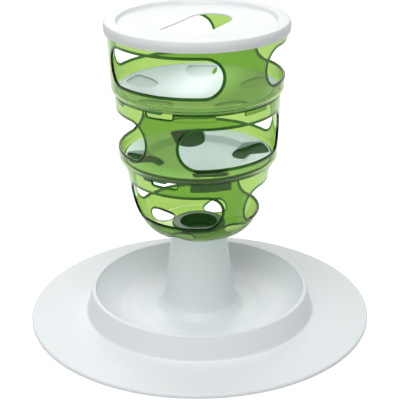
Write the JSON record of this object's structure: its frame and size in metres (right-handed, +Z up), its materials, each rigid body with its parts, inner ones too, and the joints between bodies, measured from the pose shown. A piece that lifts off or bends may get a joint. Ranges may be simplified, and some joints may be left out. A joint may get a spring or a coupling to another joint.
{
  "type": "cat food maze",
  "caption": "Stacked see-through food maze on a round feeding tray, with turning hole discs, paw windows in its tubs and a slotted lid.",
  "frame": {"origin": "on the floor under the centre of the tray, where the anti-slip pads touch it", "axes": "+Z up along the axis of the stack and its post; -Y is the side that faces the viewer in the picture"},
  "size_m": [0.3699, 0.37, 0.3296],
  "materials": {
    "tray_white": "satin",
    "pad_rubber": "matt",
    "tub_green": "clear green plastic",
    "floor_white": "satin",
    "floor_green": "deep green plastic",
    "disc_white": "satin",
    "lid_white": "satin"
  },
  "bodies": {
    "base": {"base_tray": "tray_white", "antislip_pads": "pad_rubber"},
    "lower_stage": {"lower_tub": "tub_green"},
    "middle_stage": {"middle_tub": "tub_green", "middle_floor": "floor_green"},
    "upper_stage": {"upper_tub": "tub_green", "upper_floor": "floor_white"},
    "cover": {"lid": "lid_white"},
    "middle_disc": {"middle_selector_disc": "disc_white"},
    "upper_disc": {"upper_selector_disc": "disc_white"}
  },
  "joints": [
    {"name": "stack_lift", "type": "slide", "parent": "base", "child": "lower_stage", "axis": [0, 0, 1], "range_m": [0, 0.03]},
    {"name": "middle_twist_lock", "type": "hinge", "parent": "lower_stage", "child": "middle_stage", "pos_m": [0, 0, 0.1808], "axis": [0, 0, 1], "range_deg": [0, 8]},
    {"name": "upper_twist_lock", "type": "hinge", "parent": "middle_stage", "child": "upper_stage", "pos_m": [0, 0, 0.255], "axis": [0, 0, 1], "range_deg": [0, 8]},
    {"name": "middle_disc_turn", "type": "hinge", "parent": "middle_stage", "child": "middle_disc", "pos_m": [0, 0, 0.175], "axis": [0, 0, 1], "continuous": true},
    {"name": "upper_disc_turn", "type": "hinge", "parent": "upper_stage", "child": "upper_disc", "pos_m": [0, 0, 0.249], "axis": [0, 0, 1], "continuous": true},
    {"name": "lid_lift", "type": "slide", "parent": "upper_stage", "child": "cover", "axis": [0, 0, 1], "range_m": [0, 0.06]}
  ]
}
